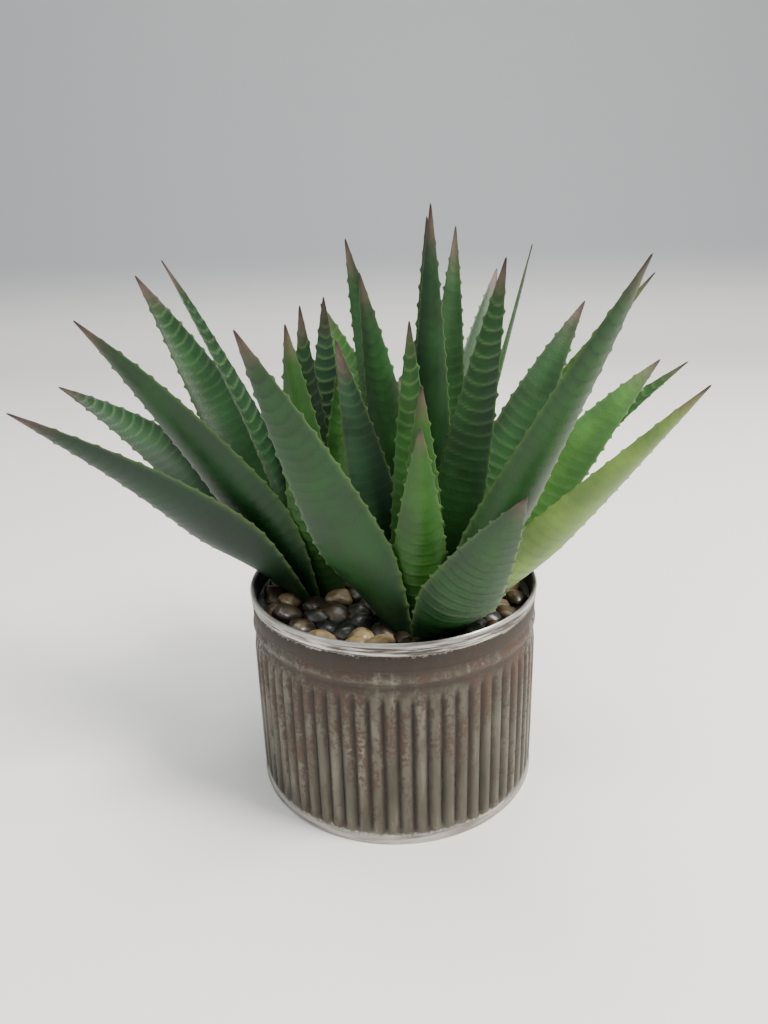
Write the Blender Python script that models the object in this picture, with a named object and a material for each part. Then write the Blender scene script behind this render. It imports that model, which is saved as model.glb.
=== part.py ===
"""Potted aloe: moulded leaves in three crowns, standing in a ribbed tin pot topped with river pebbles.

Run with Blender 4.5.  The origin is at the middle of the pot's foot, +Z is up and -Y is the front.
All driving sizes below are in millimetres; MM turns them to metres.
"""
import math
from collections import namedtuple

import bmesh
import bpy
from mathutils import Vector

MM = 0.001

# ---- Tin pot -------------------------------------------------------------------------------
POT_RADIUS = 75.0           # over the bead, a 6 inch tin
POT_HEIGHT = 110.4
FLUTES = 66                 # pressed ribs round the wall, about 7 mm apart
FLUTE_DEPTH = 1.4
WALL = 1.6                  # sheet and its inner lacquer, drawn thick enough to be solid
GAP = 0.3                   # clearance between pieces that touch

# Outer side of the wall from the foot to the rim: height, inset from POT_RADIUS, flute depth share
WALL_PROFILE = (
    (0.0, 1.2, 0.0),
    (4.6, 0.9, 0.0),
    (5.6, 0.8, 0.0),
    (9.0, 0.7, 1.0),
    (80.0, 0.7, 1.0),
    (84.0, 0.8, 0.0),
    (87.0, 1.7, 0.0),
    (89.6, 0.9, 0.0),
    (91.8, 0.0, 0.0),
    (94.0, 0.9, 0.0),
    (95.0, 1.7, 0.0),
    (96.5, 0.9, 0.0),
    (103.2, 0.9, 0.0),
    (103.8, 0.3, 0.0),
    (109.2, 0.3, 0.0),
    (POT_HEIGHT, 0.9, 0.0),
)
BASE_THICKNESS = 1.4

# ---- Filling -------------------------------------------------------------------------------
FOAM_TOP = 90.0
CROWN_TOP = 98.2            # the leaves' feet stand on the crowns at this height
PEBBLE_TOP = 97.4           # middle height of the pebble layer between the crowns
PEBBLE_RISE = 3.4           # the pebbles are heaped this much against the wall
PEBBLE_BUMP = 0.55
PEBBLE_RINGS = 11
PEBBLE_SEGMENTS = 40

# ---- Leaves --------------------------------------------------------------------------------
LEAF_FOOT = CROWN_TOP + GAP
LEAF_THICKNESS = 2.6        # along the middle of the leaf, at its foot
TIP_THINNING = 0.62         # share of the thickness lost by the tip
TROUGH = 0.30               # how far the edges stand over the midline, as a share of half the width
TROUGH_FLATTENING = 0.35    # share of the trough lost by the tip
SHOULDER = 0.48             # place of the section's inner points, as a share of half the width
FOOT_WIDTH = 0.44           # width at the foot as a share of the greatest width
FULL_WIDTH_AT = 0.3         # share of the length at which the foot's narrowing ends
TAPER_POWER = 2.8           # the leaf keeps its width, then runs to a point
STATIONS = (0.0, 0.10, 0.22, 0.36, 0.50, 0.64, 0.78, 0.90)
SPINE_STEPS = 48
DISPLAY_TWIST = 50.0        # the most a leaf turns about its midline to show a face to the front

# A leaf's whorl sets where it stands in its crown, how far it leans out there, and how wide it is.
# Each whorl stands outside the last and leans further, so the leaves of one crown nest.
Whorl = namedtuple("Whorl", "radius lean width")
WHORLS = {
    "heart": Whorl(4.5, 3.0, 24.0),
    "inner": Whorl(10.0, 13.0, 28.0),
    "outer": Whorl(15.5, 25.0, 35.0),
    "skirt": Whorl(20.5, 39.0, 36.0),
}
# A leaf's habit is how far it bends outwards between its foot and its tip, in degrees.
HABITS = {"straight": 0.0, "gentle": 15.0, "arched": 30.0}

# Each leaf: whorl, heading in degrees from +X towards +Y, habit and length.
Leaf = namedtuple("Leaf", "whorl heading habit length")

CROWN_RADIUS = 24.0
CROWNS = {
    "left": {
        "centre": (-33, 10),
        "leaves": (
            Leaf("skirt", 160, "arched", 180),
            Leaf("skirt", 210, "gentle", 170),
            Leaf("skirt", 100, "gentle", 130),
            Leaf("outer", 150, "gentle", 195),
            Leaf("outer", 210, "gentle", 180),
            Leaf("inner", 255, "straight", 150),
            Leaf("inner", 175, "gentle", 185),
            Leaf("inner", 90, "straight", 155),
            Leaf("heart", 340, "straight", 130),
            Leaf("heart", 140, "straight", 150),
        ),
    },
    "front": {
        "centre": (12, -32),
        "leaves": (
            Leaf("skirt", 290, "straight", 122),
            Leaf("skirt", 335, "straight", 160),
            Leaf("skirt", 25, "gentle", 170),
            Leaf("outer", 215, "straight", 165),
            Leaf("outer", 335, "straight", 190),
            Leaf("outer", 35, "gentle", 175),
            Leaf("inner", 30, "straight", 175),
            Leaf("inner", 270, "straight", 110),
            Leaf("inner", 150, "straight", 140),
            Leaf("heart", 100, "straight", 145),
            Leaf("heart", 280, "straight", 120),
        ),
    },
    "back": {
        "centre": (22, 28),
        "leaves": (
            Leaf("heart", 270, "straight", 195),
            Leaf("heart", 90, "straight", 190),
            Leaf("inner", 225, "straight", 170),
            Leaf("inner", 145, "straight", 185),
            Leaf("inner", 70, "straight", 190),
            Leaf("inner", 355, "straight", 180),
            Leaf("outer", 5, "gentle", 190),
            Leaf("outer", 65, "gentle", 190),
            Leaf("outer", 125, "gentle", 170),
            Leaf("skirt", 5, "gentle", 165),
            Leaf("skirt", 50, "arched", 150),
            Leaf("skirt", 95, "arched", 150),
        ),
    },
}

# ---- Materials: colour, roughness, metallic ------------------------------------------------
FINISHES = {
    "rusted_tin": ((0.235, 0.205, 0.185), 0.55, 0.7),
    "galvanised_tin": ((0.45, 0.45, 0.44), 0.45, 0.9),
    "floral_foam": ((0.055, 0.07, 0.045), 0.95, 0.0),
    "river_pebbles": ((0.12, 0.10, 0.075), 0.35, 0.0),
    "crown_plastic": ((0.05, 0.10, 0.04), 0.6, 0.0),
    "leaf_plastic": ((0.07, 0.19, 0.075), 0.45, 0.0),
}


def clear_scene():
    for item in list(bpy.data.objects):
        bpy.data.objects.remove(item, do_unlink=True)


def material(name):
    """Return the named Principled material, made once."""
    if name in bpy.data.materials:
        return bpy.data.materials[name]
    colour, roughness, metallic = FINISHES[name]
    made = bpy.data.materials.new(name)
    made.use_nodes = True
    shader = made.node_tree.nodes["Principled BSDF"]
    shader.inputs["Base Color"].default_value = (*colour, 1.0)
    shader.inputs["Roughness"].default_value = roughness
    shader.inputs["Metallic"].default_value = metallic
    return made


def add_object(name, mesh_data, finish, smooth_angle=40.0):
    """Turn a bmesh into a named object with its finish; the bmesh is freed."""
    bmesh.ops.recalc_face_normals(mesh_data, faces=mesh_data.faces)
    mesh = bpy.data.meshes.new(name)
    mesh_data.to_mesh(mesh)
    mesh_data.free()
    mesh.shade_smooth()
    mesh.set_sharp_from_angle(angle=math.radians(smooth_angle))
    mesh.materials.append(material(finish))
    made = bpy.data.objects.new(name, mesh)
    bpy.context.scene.collection.objects.link(made)
    return made


def add_ring(mesh_data, points):
    return [mesh_data.verts.new(Vector(point) * MM) for point in points]


def bridge(mesh_data, lower, upper):
    """Join two closed rings that have the same number of points."""
    count = len(lower)
    for index in range(count):
        following = (index + 1) % count
        mesh_data.faces.new((lower[index], lower[following], upper[following], upper[index]))


def circle(radius, height, count, centre=(0.0, 0.0)):
    turn = 2.0 * math.pi / count
    return [
        (centre[0] + radius * math.cos(turn * index), centre[1] + radius * math.sin(turn * index), height)
        for index in range(count)
    ]


# ---- Pot -----------------------------------------------------------------------------------
def flute_ring(height, radius, depth):
    """A ring with one ridge and one valley for each flute."""
    count = 2 * FLUTES
    turn = 2.0 * math.pi / count
    points = []
    for index in range(count):
        reach = radius - (depth if index % 2 else 0.0)
        points.append((reach * math.cos(turn * index), reach * math.sin(turn * index), height))
    return points


def build_pot_wall():
    """The fluted tube with its bead, its smooth band and its rolled rim, open at both ends."""
    inner = POT_RADIUS - WALL - FLUTE_DEPTH
    rings = []
    wall = bmesh.new()
    for height, inset, share in WALL_PROFILE:
        rings.append(add_ring(wall, flute_ring(height, POT_RADIUS - inset, FLUTE_DEPTH * share)))
    for height in (POT_HEIGHT - 0.8, POT_HEIGHT - 7.0, 0.0):
        rings.append(add_ring(wall, flute_ring(height, inner, 0.0)))
    for lower, upper in zip(rings, rings[1:] + rings[:1]):
        bridge(wall, lower, upper)
    return add_object("pot_wall", wall, "rusted_tin", 30.0)


def build_disc(name, radius, low, high, finish, count=48, centre=(0.0, 0.0)):
    """A plain round slab with flat ends."""
    slab = bmesh.new()
    bottom = add_ring(slab, circle(radius, low, count, centre))
    top = add_ring(slab, circle(radius, high, count, centre))
    bridge(slab, bottom, top)
    slab.faces.new(bottom[::-1])
    slab.faces.new(top)
    return add_object(name, slab, finish)


# ---- Filling -------------------------------------------------------------------------------
def pebble_height(radius, angle, outer):
    """Height of the bumpy pebble layer, heaped towards the wall."""
    heap = PEBBLE_RISE * max(0.0, (radius / outer - 0.78) / 0.22)
    bumps = math.sin(radius * 0.45) * math.sin(angle * 9.0 + radius * 0.11)
    return PEBBLE_TOP + heap + PEBBLE_BUMP * bumps


def build_pebble_bed():
    """The pebble layer as one solid, with a round hole for each crown."""
    outer = POT_RADIUS - WALL - FLUTE_DEPTH - GAP
    bed = bmesh.new()
    rings = []
    for step in range(1, PEBBLE_RINGS + 1):
        radius = outer * step / PEBBLE_RINGS
        points = []
        for x, y, _ in circle(radius, 0.0, PEBBLE_SEGMENTS):
            points.append((x, y, pebble_height(radius, math.atan2(y, x), outer)))
        rings.append(add_ring(bed, points))
    for lower, upper in zip(rings, rings[1:]):
        bridge(bed, lower, upper)
    bed.faces.new(rings[0])
    bottom = add_ring(bed, circle(outer, FOAM_TOP + GAP, PEBBLE_SEGMENTS))
    bridge(bed, rings[-1], bottom)
    bed.faces.new(bottom)
    pebbles = add_object("pebble_bed", bed, "river_pebbles")
    for side, crown in CROWNS.items():
        cutter = build_disc(
            f"hole_for_{side}_crown", CROWN_RADIUS + GAP, FOAM_TOP - 4.0, POT_HEIGHT,
            "river_pebbles", 32, crown["centre"],
        )
        cutter.hide_render = True
        cutter.display_type = "WIRE"
        cut = pebbles.modifiers.new(f"{side} crown", "BOOLEAN")
        cut.object = cutter
        cut.operation = "DIFFERENCE"
    return pebbles


# ---- Leaves --------------------------------------------------------------------------------
def leaf_frame(leaf, share):
    """Direction, cross direction and upper-face normal of a leaf at a share of its length."""
    heading = math.radians(leaf.heading)
    lean = math.radians(WHORLS[leaf.whorl].lean + HABITS[leaf.habit] * share)
    outward = Vector((math.cos(heading), math.sin(heading), 0.0))
    up = Vector((0.0, 0.0, 1.0))
    along = outward * math.sin(lean) + up * math.cos(lean)
    normal = up * math.sin(lean) - outward * math.cos(lean)
    across = along.cross(normal)
    twist = -math.radians(DISPLAY_TWIST) * math.sin(2.0 * heading)
    turn = twist * min(1.0, share / FULL_WIDTH_AT)
    turned = across * math.cos(turn) + normal * math.sin(turn)
    upper = normal * math.cos(turn) - across * math.sin(turn)
    return along, turned, upper


def leaf_midline(leaf, centre):
    """Points at even steps along the leaf, from its foot on the crown to its tip."""
    heading = math.radians(leaf.heading)
    reach = WHORLS[leaf.whorl].radius
    place = Vector((centre[0] + reach * math.cos(heading), centre[1] + reach * math.sin(heading), LEAF_FOOT))
    points = [place.copy()]
    for step in range(SPINE_STEPS):
        along, _, _ = leaf_frame(leaf, (step + 0.5) / SPINE_STEPS)
        place = place + along * (leaf.length / SPINE_STEPS)
        points.append(place.copy())
    return points


def midline_at(points, share):
    place = share * SPINE_STEPS
    index = min(int(place), SPINE_STEPS - 1)
    return points[index].lerp(points[index + 1], place - index)


def width_share(share):
    narrowing = FOOT_WIDTH + (1.0 - FOOT_WIDTH) * min(1.0, share / FULL_WIDTH_AT)
    return (1.0 - share ** TAPER_POWER) * narrowing


def leaf_section(leaf, points, share):
    """Six points round the leaf: two edges, and two on each face."""
    middle = midline_at(points, share)
    _, across, upper = leaf_frame(leaf, share)
    half = WHORLS[leaf.whorl].width / 2.0 * width_share(share)
    trough = TROUGH * half * (1.0 - TROUGH_FLATTENING * share)
    thickness = LEAF_THICKNESS * (1.0 - TIP_THINNING * share)
    edge = middle + upper * trough
    floor = middle + upper * (trough * SHOULDER ** 2)
    side = across * half
    top = floor + upper * (thickness / 2.0)
    under = floor - upper * (thickness / 2.0)
    return [
        edge + side,
        top + side * SHOULDER,
        top - side * SHOULDER,
        edge - side,
        under - side * SHOULDER,
        under + side * SHOULDER,
    ]


def build_leaf(name, leaf, centre):
    """A hollow-faced blade that runs from a flat foot to a point."""
    points = leaf_midline(leaf, centre)
    blade = bmesh.new()
    rings = []
    for share in STATIONS:
        section = leaf_section(leaf, points, share)
        if share == 0.0:
            section = [(x, y, LEAF_FOOT) for x, y, _ in section]
        rings.append(add_ring(blade, section))
    for lower, upper in zip(rings, rings[1:]):
        bridge(blade, lower, upper)
    tip = blade.verts.new(points[-1] * MM)
    last = rings[-1]
    for index, corner in enumerate(last):
        blade.faces.new((corner, last[(index + 1) % len(last)], tip))
    blade.faces.new(rings[0][::-1])
    return add_object(name, blade, "leaf_plastic", 60.0)


def build_crowns():
    """The three moulded crowns, each with its own leaves."""
    for side, crown in CROWNS.items():
        build_disc(
            f"{side}_crown", CROWN_RADIUS, FOAM_TOP + GAP, CROWN_TOP,
            "crown_plastic", 32, crown["centre"],
        )
        for number, leaf in enumerate(crown["leaves"], start=1):
            build_leaf(f"{side}_leaf_{number:02d}", leaf, crown["centre"])


def main():
    clear_scene()
    build_pot_wall()
    inside = POT_RADIUS - WALL - FLUTE_DEPTH - GAP
    build_disc("pot_base", inside, 0.0, BASE_THICKNESS, "galvanised_tin")
    build_disc("floral_foam", inside, BASE_THICKNESS + GAP, FOAM_TOP, "floral_foam")
    build_pebble_bed()
    build_crowns()


main()
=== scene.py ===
"""Looks of the potted aloe: moulded leaves, river pebbles and a worn ribbed tin, round the CAD frame."""
import math
import random

import bmesh
import bpy
import numpy as np
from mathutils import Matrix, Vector, noise


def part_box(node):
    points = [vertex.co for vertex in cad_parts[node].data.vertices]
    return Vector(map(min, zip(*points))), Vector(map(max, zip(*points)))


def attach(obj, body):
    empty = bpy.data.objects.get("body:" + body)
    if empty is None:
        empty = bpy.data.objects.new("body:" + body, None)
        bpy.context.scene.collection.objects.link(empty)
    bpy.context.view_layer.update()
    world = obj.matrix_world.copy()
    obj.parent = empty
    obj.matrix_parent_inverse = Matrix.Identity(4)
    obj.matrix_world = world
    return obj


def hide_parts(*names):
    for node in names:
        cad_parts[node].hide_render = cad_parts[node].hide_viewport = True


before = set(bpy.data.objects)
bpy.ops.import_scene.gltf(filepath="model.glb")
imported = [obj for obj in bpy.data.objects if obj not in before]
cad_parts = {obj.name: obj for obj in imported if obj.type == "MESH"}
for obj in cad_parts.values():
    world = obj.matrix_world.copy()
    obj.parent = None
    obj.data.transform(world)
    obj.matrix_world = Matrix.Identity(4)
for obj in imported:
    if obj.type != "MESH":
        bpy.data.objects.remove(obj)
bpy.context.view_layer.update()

MM = 0.001

# ---- Pot, read from the frame --------------------------------------------------------------
pot_low, pot_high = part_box("pot_wall")
POT_RADIUS = (pot_high.x - pot_low.x) / 2.0
POT_HEIGHT = pot_high.z
pebble_low, pebble_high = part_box("pebble_bed")
PEBBLE_OUTER = pebble_high.x
PEBBLE_FLOOR = pebble_low.z
CROWN_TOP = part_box("left_crown")[1].z

# ---- Tin design ----------------------------------------------------------------------------
FLUTES = 66
FLUTE_DEPTH = 1.6 * MM
FLUTE_SHARPNESS = 2.4        # above 1, the grooves are narrower than the ribs between them
WALL = 1.0 * MM
COLUMNS_PER_FLUTE = 8

# Height, inset from the full radius (both in mm) and flute share, up the outside of the tin.
TIN_PROFILE = (
    (0.0, 0.9, 0.0), (0.5, 0.2, 0.0), (1.6, 0.0, 0.0), (3.0, 0.1, 0.0), (4.2, 0.8, 0.0),
    (5.0, 1.0, 0.0), (6.5, 0.7, 0.5), (9.0, 0.3, 1.0), (22.0, 0.2, 1.0), (40.0, 0.2, 1.0),
    (60.0, 0.2, 1.0), (78.0, 0.3, 1.0), (82.0, 0.7, 0.6), (84.5, 1.2, 0.0), (86.5, 1.8, 0.0),
    (88.5, 1.5, 0.0), (90.0, 0.6, 0.0), (91.5, 0.2, 0.0), (93.0, 0.6, 0.0), (94.5, 1.4, 0.0),
    (95.8, 1.1, 0.0), (97.5, 0.8, 0.0), (102.6, 0.8, 0.0), (103.4, 1.1, 0.0), (104.2, 0.5, 0.0),
    (105.0, 0.3, 0.0), (107.4, 0.3, 0.0), (108.2, 0.1, 0.0), (109.2, 0.0, 0.0), (110.0, 0.3, 0.0),
)
RIM_TOP = ((0.0, 0.9), (0.3, 1.7))       # mm below the rim and mm of inset, over the rolled edge
RIM_INSIDE = ((1.4, 0.3), (5.0, 0.0))    # mm below the rim and mm outside the bore, down the inside

# Painted shade, with a little more rust, darkens the turned grooves above this height, where they are
# sunk this far.
GROOVES_ABOVE = 80.0 * MM
GROOVE_START = 0.9 * MM
GROOVE_RANGE = 0.8 * MM
GROOVE_SHADE_AND_RUST = 0.8

# Heights, in metres, over which one finish of the tin gives way to the next.
FOOT_WORN = (0.0040, 0.0062)
FLUTES_RUSTING = (0.010, 0.095)
BAND_PAINTED = (0.0948, 0.0958)
RIM_WORN = (0.1028, 0.1042)
LIP_BARE = (0.1080, 0.1088)
WORN_RAGGEDNESS = 0.006

# ---- Leaf design ---------------------------------------------------------------------------
SECTION_POINTS = 32
LEAF_STATIONS = 170
BLADE_THICKNESS = 3.4 * MM
TIP_THINNING = 0.72          # share of the thickness lost by the tip
THIN_BELOW = 3.0 * MM        # half width under which the blade thins as well
TIP_NEEDLE = 0.32 * MM
FOOT_SHARE = 0.62            # width at the foot, against the full width
FULL_WIDTH_AT = 0.28         # share of the length at which the leaf is full width
TAPER_POWER = 1.85
WIDENING = 1.10              # the moulded edge stands this much wider than the plain frame's
MIDLINE_SINK = 0.3           # how far the midline lies below the leaf's hollow, against its depth
FOOT_LIFT = 0.3 * MM         # least gap between a leaf and the top of the crowns
TROUGH = 0.30                # depth of the hollow upper face, against the half width
TROUGH_FADE = 0.35
SWELL_POWER = 0.8            # below 1, the section is fuller than an ellipse

RIDGE_PITCH = 5.6 * MM
RIDGE_HEIGHT = 0.42 * MM
RIDGE_SHARPNESS = 10
RIDGE_BOW = 0.55             # how far a ridge bows towards the tip at the edges, in pitches
DRIFT = 0.35                 # slow drift of ridges and teeth along the leaf, in pitches
DRIFT_LENGTH = 23.0 * MM
RIPPLE = 0.10                # unevenness of one ridge from edge to edge, in pitches
RIPPLE_LENGTH = 13.0 * MM
RIDGE_MEAN = 0.55            # ridges are this strong on average, and come and go by the rest
RIDGE_LENGTH = 31.0 * MM
CURL = 0.35 * MM             # waviness of the edges
CURL_LENGTH = 17.0 * MM

TOOTH_PITCH = 8.4 * MM
TOOTH_REACH = 1.2 * MM
TOOTH_STAGGER = 0.25         # teeth of the two edges stand apart by twice this, in pitches
TOOTH_START = 0.38           # a tooth rises, leans to its peak and drops, in shares of its pitch
TOOTH_PEAK = 0.62
TOOTH_END = 0.76
EDGE_STARTS = 0.9            # share of the way from the midline to the edge
SMALL_BELOW = 4.0 * MM       # half width under which the teeth shrink

TONES = (0.1, 0.8)           # range of leaf colours, from blue green to yellow green
PAINTED_LIGHT_RIGHT = 0.14            # painted light: leaves are painted yellower towards the right of the pot, where the key lamp falls
UNDER_TONE = 0.16            # undersides are this much yellower
EDGE_TONE = 0.10             # and edges this much bluer

# ---- Pebble design -------------------------------------------------------------------------
STONE_RADII = (5.8, 8.6)     # mm
STONE_TRIES = 9000
STONE_CLEARANCE = 7.0 * MM   # leaves keep stones away up to this height over the crowns
LEAF_GAP = 0.8               # shares of a stone's size kept from leaves and other stones
STONE_GAP = 0.70
STONE_LIFT = 0.2             # mm over the crowns' top, and more for a stone on a crown
CROWN_LIFT = 2.4
EDGE_LIFT = 2.6 * MM         # how far the bed climbs where it meets the tin
EDGE_CLIMB = 0.7             # share of the radius at which it starts to
STONE_TONES = (0.05, 0.15, 0.3, 0.45, 0.6, 0.75, 0.9)
PALE_STONES = Vector((-0.26, -0.78, 0.0)) * PEBBLE_OUTER   # a cream group, front left
PALE_REACH = 12.0 * MM
BED_MARGIN = 0.2 * MM


def deselect():
    """Leave edit mode and select nothing."""
    if bpy.context.mode != "OBJECT":
        bpy.ops.object.mode_set(mode="OBJECT")
    bpy.ops.object.select_all(action="DESELECT")


# ---- Materials -----------------------------------------------------------------------------
def linear(code):
    """An sRGB hex colour as linear RGBA."""
    made = []
    for place in (0, 2, 4):
        value = int(code[place:place + 2], 16) / 255.0
        made.append(value / 12.92 if value <= 0.04045 else ((value + 0.055) / 1.055) ** 2.4)
    return (*made, 1.0)


def new_material(name):
    made = bpy.data.materials.new(name)
    made.use_nodes = True
    return made, made.node_tree, made.node_tree.nodes["Principled BSDF"]


def add(tree, kind, inputs=None, **settings):
    """Add one node; inputs are constants or sockets, settings are the node's own properties."""
    made = tree.nodes.new(kind)
    for key, value in settings.items():
        setattr(made, key, value)
    for key, value in (inputs or {}).items():
        if isinstance(value, bpy.types.NodeSocket):
            tree.links.new(value, made.inputs[key])
        else:
            made.inputs[key].default_value = value
    return made


def ramp(tree, source, stops, smooth=False):
    made = add(tree, "ShaderNodeValToRGB", {"Fac": source})
    made.color_ramp.interpolation = "EASE" if smooth else "LINEAR"
    elements = made.color_ramp.elements
    while len(elements) > 1:
        elements.remove(elements[-1])
    for number, (place, colour) in enumerate(stops):
        element = elements[0] if number == 0 else elements.new(place)
        element.position = place
        element.color = linear(colour)
    return made.outputs["Color"]


def mix(tree, factor, first, second, blend="MIX"):
    made = tree.nodes.new("ShaderNodeMix")
    made.data_type = "RGBA"
    made.blend_type = blend
    for socket, value in ((made.inputs[0], factor), (made.inputs[6], first), (made.inputs[7], second)):
        if isinstance(value, bpy.types.NodeSocket):
            tree.links.new(value, socket)
        else:
            socket.default_value = value
    return made.outputs[2]


def spread(tree, value, low, high, to_low=0.0, to_high=1.0):
    """Map a value smoothly from one range to another, clamped."""
    made = add(
        tree, "ShaderNodeMapRange",
        {"Value": value, "From Min": low, "From Max": high, "To Min": to_low, "To Max": to_high},
        interpolation_type="SMOOTHSTEP",
    )
    return made.outputs[0]


def maths(tree, operation, first, second=0.0):
    made = add(tree, "ShaderNodeMath", {0: first, 1: second}, operation=operation)
    return made.outputs[0]


def times(tree, first, second):
    return maths(tree, "MULTIPLY", first, second)


def centred(tree, value, amount):
    """A 0 to 1 value moved to lie about zero, at the given amount."""
    return times(tree, maths(tree, "SUBTRACT", value, 0.5), amount)


def object_place(tree):
    return add(tree, "ShaderNodeTexCoord").outputs["Object"]


def height_of(tree, place):
    return add(tree, "ShaderNodeSeparateXYZ", {"Vector": place}).outputs["Z"]


def stretched(tree, place, flat, upright):
    return add(tree, "ShaderNodeMapping", {"Vector": place, "Scale": (flat, flat, upright)}).outputs[0]


def attribute(tree, name):
    return add(tree, "ShaderNodeAttribute", attribute_name=name).outputs["Fac"]


def noise_of(tree, place, scale, detail=4.0, roughness=0.55):
    made = add(
        tree, "ShaderNodeTexNoise",
        {"Vector": place, "Scale": scale, "Detail": detail, "Roughness": roughness},
    )
    return made.outputs["Fac"]


def bump(tree, height, strength, distance, shader):
    made = add(tree, "ShaderNodeBump", {"Height": height, "Strength": strength, "Distance": distance})
    tree.links.new(made.outputs["Normal"], shader.inputs["Normal"])


def leaf_plastic():
    """Injection-moulded polyethylene leaf: pale ridges and edges, painted shade on the underside's
    ridges and at the foot, dry brown tips.
    """
    made, tree, shader = new_material("Moulded leaf plastic")
    place = object_place(tree)
    share = attribute(tree, "share")
    clouds = noise_of(tree, place, 38.0, 5.0)
    # The tone carries painted light, yellower towards the right of the pot.
    body = ramp(tree, attribute(tree, "tone"), (
        (0.0, "0a2719"), (0.25, "12381a"), (0.5, "21501b"), (0.75, "3d6f22"), (1.0, "6b8c30"),
    ))
    shade = ramp(tree, clouds, ((0.3, "7f8f7f"), (0.7, "ffffff")), True)
    body = mix(tree, 0.7, body, shade, "MULTIPLY")
    worn = maths(tree, "ADD", share, centred(tree, clouds, 0.22))
    for strength, colour in (
        (spread(tree, share, 0.0, 0.30, 0.85, 0.0), "0f2a12"),           # painted shade at the foot, where the leaves crowd into the crown
        (times(tree, attribute(tree, "ridge"), 0.24), "7c9a62"),
        # painted shade on the ridges of the underside
        (times(tree, attribute(tree, "painted_underside_shade"), 0.55), "0a2410"),
        (times(tree, attribute(tree, "edge"), 0.28), "6f8a4e"),
        (spread(tree, worn, 0.84, 1.0, 0.0, 0.75), "5c4140"),            # brown towards the tip
        (spread(tree, share, 0.95, 0.995, 0.0, 0.85), "2a1c1c"),         # nearly black point
    ):
        body = mix(tree, strength, body, linear(colour))
    tree.links.new(body, shader.inputs["Base Color"])
    tree.links.new(spread(tree, clouds, 0.3, 0.7, 0.40, 0.54), shader.inputs["Roughness"])
    shader.inputs["Specular IOR Level"].default_value = 0.34
    shader.inputs["Subsurface Weight"].default_value = 0.04
    shader.inputs["Subsurface Radius"].default_value = (0.002, 0.004, 0.001)
    bump(tree, noise_of(tree, place, 900.0, 3.0), 0.25, 0.0004, shader)
    return made


def mottled(name, scale, darker, lighter, roughness, metallic=0.0):
    """A plain material whose tint wanders between two colours; each is a place and a colour."""
    made, tree, shader = new_material(name)
    tint = ramp(tree, noise_of(tree, object_place(tree), scale), (darker, lighter))
    tree.links.new(tint, shader.inputs["Base Color"])
    shader.inputs["Metallic"].default_value = metallic
    shader.inputs["Roughness"].default_value = roughness
    return made


def rusted_tin():
    """Galvanised tin, sponged with brown rust paint and rubbed back at the rim and the foot."""
    made, tree, shader = new_material("Rust-finished tin")
    place = object_place(tree)
    height = height_of(tree, place)
    flat = stretched(tree, place, 1.0, 0.55)
    patches = noise_of(tree, flat, 60.0, 9.0, 0.70)
    specks = noise_of(tree, place, 520.0, 6.0, 0.70)
    runs = noise_of(tree, stretched(tree, place, 1.0, 0.16), 150.0, 5.0, 0.6)
    scratches = noise_of(tree, stretched(tree, place, 0.25, 6.0), 170.0, 5.0, 0.65)
    valley = attribute(tree, "valley")
    cover = maths(tree, "ADD", patches, centred(tree, specks, 0.85))
    cover = maths(tree, "ADD", cover, times(tree, valley, 0.07))
    cover = maths(tree, "ADD", cover, spread(tree, height, *FLUTES_RUSTING, -0.10, 0.02))
    rusted = spread(tree, cover, 0.44, 0.58, 0.0, 0.92)
    zinc = ramp(tree, runs, ((0.3, "48463e"), (0.55, "5b584f"), (0.75, "78746a")))
    grain = maths(tree, "ADD", times(tree, patches, 0.5), times(tree, specks, 0.5))
    rust = ramp(tree, grain, (
        (0.32, "261a12"), (0.46, "38271b"), (0.56, "452f22"), (0.68, "574433"),
    ))
    purple = spread(tree, noise_of(tree, flat, 21.0, 3.0), 0.52, 0.66, 0.0, 0.55)
    rust = mix(tree, purple, rust, linear("3a302c"))
    body = mix(tree, rusted, zinc, rust)
    # Painted shade darkens the flute valleys and the turned grooves.
    body = mix(tree, times(tree, valley, 0.66), body, linear("1d1916"))
    band = spread(tree, height, *BAND_PAINTED)
    body = mix(tree, times(tree, band, 0.92), body, mix(tree, 0.75, rust, linear("1a130b")))
    # Bare metal where the foot, the band under the rim and the lip are rubbed.
    ragged = maths(tree, "ADD", height, centred(tree, specks, WORN_RAGGEDNESS))
    foot = spread(tree, ragged, *FOOT_WORN, 1.0, 0.0)
    rim_runs = spread(tree, scratches, 0.44, 0.56, 0.15, 1.0)
    rim = times(tree, spread(tree, ragged, *RIM_WORN), rim_runs)
    lip = spread(tree, height, *LIP_BARE)
    bare = maths(tree, "MAXIMUM", maths(tree, "MAXIMUM", foot, rim), lip)
    silver = ramp(tree, scratches, ((0.35, "77746f"), (0.55, "aaa7a1"), (0.75, "dad7d1")))
    body = mix(tree, bare, body, silver)
    lining = mix(tree, spread(tree, runs, 0.3, 0.7), linear("3c3c3b"), linear("62605d"))
    body = mix(tree, attribute(tree, "inside"), body, lining)
    unworn = maths(tree, "SUBTRACT", 1.0, bare)
    painted = times(tree, maths(tree, "MAXIMUM", rusted, band), unworn)
    tree.links.new(body, shader.inputs["Base Color"])
    tree.links.new(spread(tree, painted, 0.0, 1.0, 0.85, 0.12), shader.inputs["Metallic"])
    tree.links.new(spread(tree, painted, 0.0, 1.0, 0.40, 0.66), shader.inputs["Roughness"])
    rise = maths(tree, "ADD", times(tree, painted, 0.6), times(tree, specks, 0.5))
    bump(tree, rise, 0.35, 0.0005, shader)
    return made


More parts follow.
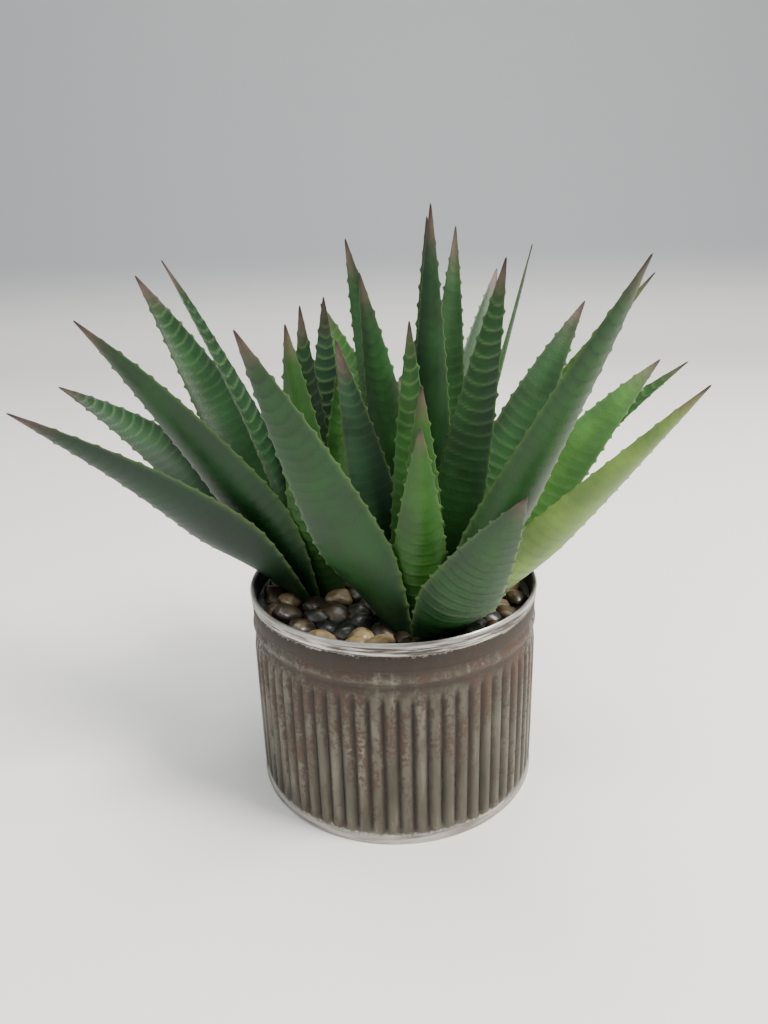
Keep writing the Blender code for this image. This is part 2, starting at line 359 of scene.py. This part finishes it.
def river_stone():
    """Tumbled river stone under clear varnish; each stone has its own tone."""
    made, tree, shader = new_material("Varnished river stone")
    place = object_place(tree)
    grain = noise_of(tree, place, 260.0, 6.0, 0.6)
    veins = noise_of(tree, place, 90.0, 3.0)
    body = ramp(tree, attribute(tree, "tone"), (
        (0.0, "101211"), (0.2, "191a14"), (0.4, "25241a"),
        (0.6, "32291b"), (0.8, "4a3d28"), (1.0, "9c8a66"),
    ))
    mottle = ramp(tree, grain, ((0.3, "8a8378"), (0.65, "ffffff")))
    body = mix(tree, 0.8, body, mottle, "MULTIPLY")
    body = mix(tree, spread(tree, veins, 0.55, 0.7, 0.0, 0.25), body, linear("9a835e"))
    tree.links.new(body, shader.inputs["Base Color"])
    shader.inputs["Roughness"].default_value = 0.38
    shader.inputs["Coat Weight"].default_value = 0.18
    shader.inputs["Coat Roughness"].default_value = 0.12
    bump(tree, grain, 0.2, 0.0004, shader)
    return made


LEAF = leaf_plastic()
TIN = rusted_tin()
STONE = river_stone()
# Dark moulded stem plastic under the leaves.
CROWN = mottled("Moulded stem plastic", 60.0, (0.35, "16281a"), (0.7, "2c4527"), 0.6)
# Bare galvanised sheet closing the foot.
SHEET = mottled("Galvanised sheet", 120.0, (0.3, "7a7977"), (0.7, "a3a19d"), 0.45, 0.9)
# Cut floral foam, hidden under the stones.
FOAM = mottled("Floral foam", 500.0, (0.3, "232a1c"), (0.7, "3a4430"), 0.95)


def read_places(mesh):
    """The places of a mesh's vertices, one row each."""
    places = np.zeros(len(mesh.vertices) * 3)
    mesh.vertices.foreach_get("co", places)
    return places.reshape(-1, 3)


def set_places(mesh, places):
    mesh.vertices.foreach_set("co", places.ravel())
    mesh.update()


def set_attribute(mesh, name, values):
    made = mesh.attributes.new(name, "FLOAT", "POINT")
    made.data.foreach_set("value", np.asarray(values, dtype=np.float32))


def repaint(piece, material):
    piece.data.materials.clear()
    piece.data.materials.append(material)


def finish(piece, material, slot, *nodes, angle):
    """Give a piece its material, smooth shading and body, and hide the CAD nodes it stands for; the slot
    is not used.
    """
    repaint(piece, material)
    deselect()
    piece.select_set(True)
    bpy.context.view_layer.objects.active = piece
    bpy.ops.object.shade_smooth_by_angle(angle=math.radians(angle))
    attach(piece, "root")
    if nodes:
        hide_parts(*nodes)


# ---- Leaves --------------------------------------------------------------------------------
SAME_PLACE = 0.01 * MM
FOOT_LEVEL = 0.05 * MM


def read_rings(node):
    """The rings of six points of a plain frame leaf, from its foot up, and its tip."""
    copy = bmesh.new()
    copy.from_mesh(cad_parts[node].data)
    bmesh.ops.remove_doubles(copy, verts=copy.verts, dist=SAME_PLACE)
    low = min(vert.co.z for vert in copy.verts)
    feet = [vert.co for vert in copy.verts if vert.co.z < low + FOOT_LEVEL]
    foot = sum(feet, Vector()) / len(feet)
    tip = max(copy.verts, key=lambda vert: (vert.co - foot).length)
    seen = {tip}
    level = [tip]
    rings = []
    while level:
        following = []
        for vert in level:
            for link in vert.link_edges:
                other = link.other_vert(vert)
                if other not in seen:
                    seen.add(other)
                    following.append(other)
        if following:
            rings.append([vert.co.copy() for vert in following])
        level = following
    point = tip.co.copy()
    copy.free()
    return rings[::-1], point


def widest_pair(points):
    """The two points of a ring that lie furthest apart: the leaf's edges."""
    pairs = [(a, b) for place, a in enumerate(points) for b in points[place + 1:]]
    return max(pairs, key=lambda pair: (pair[0] - pair[1]).length)


def read_leaf(node):
    """Midline places, cross directions, upper directions and half widths along a frame leaf."""
    rings, tip = read_rings(node)
    places = []
    crosses = []
    uppers = []
    halves = []
    for ring in rings:
        first, second = widest_pair(ring)
        inner = [point for point in ring if point is not first and point is not second]
        floor = sum(inner, Vector()) / len(inner)
        edge = (first + second) / 2.0
        cross = first - second
        halves.append(cross.length / 2.0)
        cross.normalize()
        if crosses and cross.dot(crosses[-1]) < 0.0:
            cross.negate()
        upper = edge - floor
        upper -= cross * upper.dot(cross)
        places.append(floor - upper * MIDLINE_SINK)
        crosses.append(cross)
        uppers.append(upper.normalized())
    places.append(tip)
    crosses.append(crosses[-1])
    uppers.append(uppers[-1])
    halves.append(0.0)
    if places[0].z < places[1].z:
        uppers[0] = uppers[1]
    return places, crosses, uppers, halves


def smooth_track(values, shares, wanted):
    """Values on a smooth cubic through the rows, at the wanted shares of the way along."""
    rows = np.array([tuple(value) for value in values])
    slopes = np.gradient(rows, shares, axis=0)
    made = []
    for share in wanted:
        index = min(max(int(np.searchsorted(shares, share)) - 1, 0), len(shares) - 2)
        step = shares[index + 1] - shares[index]
        t = (share - shares[index]) / step
        made.append(
            (2 * t ** 3 - 3 * t ** 2 + 1) * rows[index]
            + (t ** 3 - 2 * t ** 2 + t) * step * slopes[index]
            + (3 * t ** 2 - 2 * t ** 3) * rows[index + 1]
            + (t ** 3 - t ** 2) * step * slopes[index + 1]
        )
    return np.array(made)


def leaf_blank(name):
    """A closed round blank with a point at each end and even rings between."""
    deselect()
    bpy.ops.mesh.primitive_uv_sphere_add(segments=SECTION_POINTS, ring_count=LEAF_STATIONS, radius=1.0)
    blank = bpy.context.object
    blank.name = name
    return blank


def tooth_wave(along):
    """Small separate spines that lean towards the tip."""
    phase = along % 1.0
    rising = np.clip((phase - TOOTH_START) / (TOOTH_PEAK - TOOTH_START), 0.0, 1.0)
    falling = np.clip((TOOTH_END - phase) / (TOOTH_END - TOOTH_PEAK), 0.0, 1.0)
    return np.where(phase < TOOTH_PEAK, rising, falling)


def mould_leaf(node, dice):
    """Press a blank into a ridged, toothed leaf that follows the frame's leaf."""
    places, crosses, uppers, halves = read_leaf(node)
    steps = [0.0]
    for first, second in zip(places, places[1:]):
        steps.append(steps[-1] + (second - first).length)
    length = steps[-1]
    shares = np.array(steps) / length
    blank = leaf_blank(f"leaf_{node}")
    mesh = blank.data

    # Where each point of the blank comes to lie: along the leaf, across it, and on which face.
    ball = read_places(mesh)
    share = 1.0 - np.arccos(np.clip(ball[:, 2], -1.0, 1.0)) / math.pi
    share = np.clip((share - 1.0 / LEAF_STATIONS) / (1.0 - 1.0 / LEAF_STATIONS), 0.0, 1.0)
    share = np.round(share, 5)
    angle = np.arctan2(ball[:, 1], ball[:, 0])
    pole = np.hypot(ball[:, 0], ball[:, 1]) < 0.00001
    across = np.where(pole, 0.0, np.cos(angle))
    face = np.where(pole, 0.0, np.sin(angle))
    along = share * length

    # The midline, and the directions across the leaf and out of its upper face.
    levels, level_of = np.unique(share, return_inverse=True)
    middle = smooth_track(places, shares, levels)[level_of]
    cross = smooth_track(crosses, shares, levels)[level_of]
    cross /= np.linalg.norm(cross, axis=1)[:, None]
    upper = smooth_track(uppers, shares, levels)[level_of]
    upper /= np.linalg.norm(upper, axis=1)[:, None]

    # Half width, and teeth along the edges.
    widest = max(halves) * WIDENING
    narrowing = FOOT_SHARE + (1.0 - FOOT_SHARE) * np.minimum(1.0, share / FULL_WIDTH_AT)
    half = widest * (1.0 - share ** TAPER_POWER) * narrowing + TIP_NEEDLE * (share < 0.9999)
    shift = dice.random()
    drift = DRIFT * np.sin(along / DRIFT_LENGTH + 6.0 * shift)
    fade = np.clip(share * 14.0, 0.0, 1.0) * np.clip((0.985 - share) * 9.0, 0.0, 1.0)
    tooth = tooth_wave(along / TOOTH_PITCH + drift + shift + TOOTH_STAGGER * np.sign(across))
    brink = np.clip((np.abs(across) - EDGE_STARTS) / (1.0 - EDGE_STARTS), 0.0, 1.0)
    reach = TOOTH_REACH * tooth * brink * fade * np.clip(half / SMALL_BELOW, 0.25, 1.0)

    # Ridges across both faces.
    crest = along / RIDGE_PITCH + drift + shift * 3.0 - RIDGE_BOW * across ** 2
    crest += RIPPLE * np.sin(along / RIPPLE_LENGTH + across * 2.0 + 9.0 * shift)
    wave = (0.5 + 0.5 * np.cos(2.0 * math.pi * crest)) ** RIDGE_SHARPNESS
    come_and_go = RIDGE_MEAN + (1.0 - RIDGE_MEAN) * np.sin(along / RIDGE_LENGTH + 5.0 * shift)
    ridge = wave * (fade * (1.0 - brink) * come_and_go * (1.0 - 0.5 * brink))

    # Thickness, the hollow of the upper face, and the waviness of the edges.
    taper = 1.0 - TIP_THINNING * share
    thickness = BLADE_THICKNESS * taper * np.minimum(1.0, half / THIN_BELOW)
    thickness = np.maximum(thickness, 2.0 * np.minimum(half, TIP_NEEDLE))
    trough = TROUGH * half * (1.0 - TROUGH_FADE * share)
    swell = np.sign(face) * np.abs(face) ** SWELL_POWER
    lift = trough * across ** 2 + thickness / 2.0 * swell + RIDGE_HEIGHT * ridge * swell
    curl = CURL * np.sin(along / CURL_LENGTH + 4.0 * np.sign(across) + 7.0 * shift)
    curl = curl * across ** 4 * fade

    made = middle + cross * (across * half + np.sign(across) * reach)[:, None]
    made = made + upper * (lift + curl)[:, None]
    lowest = CROWN_TOP + FOOT_LIFT
    made[:, 2] = np.where(share < 0.00002, lowest, np.maximum(made[:, 2], lowest))
    set_places(mesh, made)
    set_attribute(mesh, "share", share)
    set_attribute(mesh, "ridge", ridge * (face > 0.0))
    # Painted shade goes on the ridges of the underside.
    set_attribute(mesh, "painted_underside_shade", ridge * (face < 0.0))
    set_attribute(mesh, "edge", brink * fade)
    # The leaf's tone is random, plus painted light that makes leaves towards the right yellower.
    tone = dice.uniform(*TONES) + PAINTED_LIGHT_RIGHT * places[-1].x / POT_RADIUS
    tone = tone + UNDER_TONE * (face < 0.0) - EDGE_TONE * np.abs(across)
    set_attribute(mesh, "tone", np.clip(tone, 0.0, 1.0))
    finish(blank, LEAF, "leaf_plastic", node, angle=75.0)


# ---- Pebbles -------------------------------------------------------------------------------
def find_spots(dice):
    """Places for the stones, clear of the leaves: spot, size and whether a crown is under it."""
    crowns = []
    for node in ("left_crown", "front_crown", "back_crown"):
        low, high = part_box(node)
        middle = (low + high) / 2.0
        crowns.append((Vector((middle.x, middle.y, 0.0)), (high.x - low.x) / 2.0))
    feet = []
    for node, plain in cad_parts.items():
        if "_leaf_" in node:
            for vert in plain.data.vertices:
                if vert.co.z < CROWN_TOP + STONE_CLEARANCE:
                    feet.append((vert.co.x, vert.co.y))
    feet = np.array(feet)
    laid = []
    for _ in range(STONE_TRIES):
        size = dice.uniform(*STONE_RADII) * MM
        radius = math.sqrt(dice.random()) * (PEBBLE_OUTER - size * 0.9)
        heading = dice.uniform(0.0, 2.0 * math.pi)
        spot = Vector((radius * math.cos(heading), radius * math.sin(heading), 0.0))
        if np.hypot(feet[:, 0] - spot.x, feet[:, 1] - spot.y).min() < size * LEAF_GAP:
            continue
        if any((spot - other).length < (size + width) * STONE_GAP for other, width, _ in laid):
            continue
        on_crown = any((spot - middle).length < reach for middle, reach in crowns)
        laid.append((spot, size, on_crown))
    return laid


def shape_stone(spot, size, on_crown, dice):
    """One tumbled stone: a ball, stretched, made uneven, tilted and laid down."""
    bpy.ops.mesh.primitive_ico_sphere_add(subdivisions=3, radius=size)
    stone = bpy.context.object
    stretch = Vector((dice.uniform(0.95, 1.2), dice.uniform(0.8, 1.0), dice.uniform(0.55, 0.72)))
    seed = Vector((dice.random(), dice.random(), dice.random())) * 50.0
    turn = dice.uniform(0.0, math.pi)
    tilt = dice.uniform(-0.35, 0.35)
    height = CROWN_TOP + (CROWN_LIFT if on_crown else STONE_LIFT) * MM + dice.uniform(-1.4, 1.6) * MM
    height += EDGE_LIFT * max(0.0, spot.length / PEBBLE_OUTER - EDGE_CLIMB) / (1.0 - EDGE_CLIMB)
    tone = min(1.0, max(0.0, dice.choice(STONE_TONES) + dice.uniform(-0.08, 0.08)))
    if (spot - PALE_STONES).length < PALE_REACH:
        tone = 1.0
    for vert in stone.data.vertices:
        way = vert.co.normalized()
        uneven = 0.22 * noise.noise(way * 1.1 + seed)
        reach = 1.0 + uneven + 0.05 * noise.noise(way * 3.0 + seed)
        x = vert.co.x * stretch.x * reach
        y = vert.co.y * stretch.y * reach
        z = vert.co.z * stretch.z * reach + x * tilt
        vert.co = (
            spot.x + x * math.cos(turn) - y * math.sin(turn),
            spot.y + x * math.sin(turn) + y * math.cos(turn),
            height + z,
        )
    set_attribute(stone.data, "tone", [tone] * len(stone.data.vertices))
    return stone


def lay_pebbles():
    """Tumbled stones bedded between the crowns and the wall."""
    dice = random.Random(11)
    spots = find_spots(dice)
    deselect()
    bed = [shape_stone(spot, size, on_crown, dice) for spot, size, on_crown in spots]
    deselect()
    for stone in bed:
        stone.select_set(True)
    bpy.context.view_layer.objects.active = bed[0]
    bpy.ops.object.join()
    stones = bpy.context.object
    stones.name = "river_pebbles"
    limit = PEBBLE_OUTER + BED_MARGIN
    for vert in stones.data.vertices:
        away = math.hypot(vert.co.x, vert.co.y)
        if away > limit:
            vert.co.x *= limit / away
            vert.co.y *= limit / away
    finish(stones, STONE, "river_pebbles", angle=80.0)


# ---- Tin -----------------------------------------------------------------------------------
def raise_tin():
    """The fluted tin, drawn up ring by ring from its foot, then down its plain inside."""
    columns = FLUTES * COLUMNS_PER_FLUTE
    deselect()
    bpy.ops.mesh.primitive_circle_add(vertices=columns, radius=POT_RADIUS)
    tin = bpy.context.object
    tin.name = "tin_pot"
    inner = POT_RADIUS - WALL - FLUTE_DEPTH
    stations = [(z * MM, POT_RADIUS - inset * MM, share) for z, inset, share in TIN_PROFILE]
    stations += [(POT_HEIGHT - down * MM, POT_RADIUS - inset * MM, 0.0) for down, inset in RIM_TOP]
    outside = len(stations)
    stations += [(POT_HEIGHT - down * MM, inner + gap * MM, 0.0) for down, gap in RIM_INSIDE]
    stations += [(PEBBLE_FLOOR, inner, 0.0), (0.0, inner, 0.0)]
    bpy.ops.object.mode_set(mode="EDIT")
    bpy.ops.mesh.select_all(action="SELECT")
    for _ in stations[1:]:
        bpy.ops.mesh.extrude_edges_move(TRANSFORM_OT_translate={"value": (0.0, 0.0, MM)})
    bpy.ops.mesh.select_all(action="DESELECT")
    bpy.ops.object.mode_set(mode="OBJECT")
    mesh = tin.data
    spots = read_places(mesh)
    ring = np.rint(spots[:, 2] / MM).astype(int)
    heading = np.arctan2(spots[:, 1], spots[:, 0])
    table = np.array(stations)
    dent = (0.5 - 0.5 * np.cos(heading * FLUTES)) ** FLUTE_SHARPNESS
    reach = table[ring, 1] - FLUTE_DEPTH * table[ring, 2] * dent
    spots[:, 0] = reach * np.cos(heading)
    spots[:, 1] = reach * np.sin(heading)
    spots[:, 2] = table[ring, 0]
    set_places(mesh, spots)
    sunk = np.clip((POT_RADIUS - table[ring, 1] - GROOVE_START) / GROOVE_RANGE, 0.0, 1.0)
    grooved = sunk * (table[ring, 0] > GROOVES_ABOVE) * (ring < outside - len(RIM_TOP))
    # The valley share drives painted shade, and a little rust gathering, in the flutes and grooves.
    set_attribute(mesh, "valley", np.maximum(dent * table[ring, 2], GROOVE_SHADE_AND_RUST * grooved))
    set_attribute(mesh, "inside", (ring >= outside).astype(float))
    # The wall has no bottom edge yet: join the first ring outside to the last one inside.
    for edge in mesh.edges:
        ends = {int(ring[edge.vertices[0]]), int(ring[edge.vertices[1]])}
        edge.select = ends in ({0}, {len(stations) - 1})
    bpy.ops.object.mode_set(mode="EDIT")
    bpy.ops.mesh.select_mode(type="EDGE")
    bpy.ops.mesh.bridge_edge_loops()
    bpy.ops.mesh.select_all(action="SELECT")
    bpy.ops.mesh.normals_make_consistent(inside=False)
    bpy.ops.object.mode_set(mode="OBJECT")
    finish(tin, TIN, "rusted_tin", "pot_wall", angle=42.0)


raise_tin()
lay_pebbles()
leaf_dice = random.Random(7)
for leaf_node in sorted(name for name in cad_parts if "_leaf_" in name):
    mould_leaf(leaf_node, leaf_dice)
# The frame's own plain solids show here and there under the leaves and the stones.
for node, material in (
    ("left_crown", CROWN), ("front_crown", CROWN), ("back_crown", CROWN),
    ("pebble_bed", STONE), ("pot_base", SHEET), ("floral_foam", FOAM),
):
    repaint(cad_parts[node], material)


# ---- Stage, light and camera ---------------------------------------------------------------
SWEEP_WIDTH = 9.0
SWEEP_LENGTH = 5.2
SWEEP_FRONT = -1.6
SWEEP_BACK = 1.5             # the floor starts to rise here
SWEEP_RADIUS = 0.9
WALL_SHADE_HEIGHTS = (-0.01, 0.24)   # heights between which the white floor is painted grey, as painted shade up the wall

CAMERA_LENS = 27.07          # mm, for a sensor 36 mm along the longer side
CAMERA_SENSOR = 36.0
CAMERA_PLACE = (-0.0038, -0.373, 0.279)
CAMERA_DOWN = 19.7           # degrees
CAMERA_ROLL = -1.63


def lay_sweep():
    """A white floor that curves up into a wall, painted grey with height as painted shade."""
    made, tree, shader = new_material("Painted studio sweep")
    place = object_place(tree)
    height = height_of(tree, place)
    # Painted shade: the sweep greys with height up the wall.
    tint = mix(tree, spread(tree, height, *WALL_SHADE_HEIGHTS), linear("fdfbf6"), linear("b4b7ba"))
    tree.links.new(tint, shader.inputs["Base Color"])
    shader.inputs["Roughness"].default_value = 0.8
    shader.inputs["Specular IOR Level"].default_value = 0.2
    deselect()
    bpy.ops.mesh.primitive_grid_add(x_subdivisions=2, y_subdivisions=90, size=1.0)
    sweep = bpy.context.object
    sweep.name = "studio_sweep"
    for vert in sweep.data.vertices:
        run = (vert.co.y + 0.5) * SWEEP_LENGTH + SWEEP_FRONT
        turned = min(max((run - SWEEP_BACK) / SWEEP_RADIUS, 0.0), math.pi / 2.0)
        past = max(0.0, run - SWEEP_BACK - SWEEP_RADIUS * math.pi / 2.0)
        vert.co = (
            vert.co.x * SWEEP_WIDTH,
            min(run, SWEEP_BACK) + SWEEP_RADIUS * math.sin(turned),
            SWEEP_RADIUS * (1.0 - math.cos(turned)) + past,
        )
    sweep.data.materials.append(made)
    sweep.data.shade_smooth()


def add_light(name, place, target, size, power, colour):
    lamp = bpy.data.lights.new(name, "AREA")
    lamp.shape = "DISK"
    lamp.size = size
    lamp.energy = power
    lamp.color = linear(colour)[:3]
    made = bpy.data.objects.new(name, lamp)
    made.location = place
    made.rotation_euler = (Vector(target) - Vector(place)).to_track_quat("-Z", "Y").to_euler()
    bpy.context.scene.collection.objects.link(made)


lay_sweep()
add_light("key", (1.15, -0.45, 1.5), (0.0, 0.0, 0.15), 0.7, 58.0, "fffaf2")
add_light("fill", (-1.3, -1.0, 1.0), (0.0, 0.0, 0.15), 1.3, 8.0, "f2f6ff")
add_light("top", (0.1, 0.3, 1.9), (0.0, 0.0, 0.1), 1.0, 20.0, "ffffff")

world = bpy.data.worlds.new("room")
world.use_nodes = True
room = world.node_tree.nodes["Background"]
room.inputs["Color"].default_value = linear("e6e8ea")
room.inputs["Strength"].default_value = 0.76
bpy.context.scene.world = world

lens = bpy.data.cameras.new("camera")
lens.lens = CAMERA_LENS
lens.sensor_width = CAMERA_SENSOR
camera = bpy.data.objects.new("camera", lens)
camera.location = CAMERA_PLACE
camera.rotation_mode = "XYZ"
tilt_down = math.radians(CAMERA_DOWN)
forward = Vector((0.0, math.cos(tilt_down), -math.sin(tilt_down)))
camera.rotation_euler = forward.to_track_quat("-Z", "Y").to_euler()
camera.rotation_euler.rotate_axis("Z", math.radians(CAMERA_ROLL))
bpy.context.scene.collection.objects.link(camera)
bpy.context.scene.camera = camera
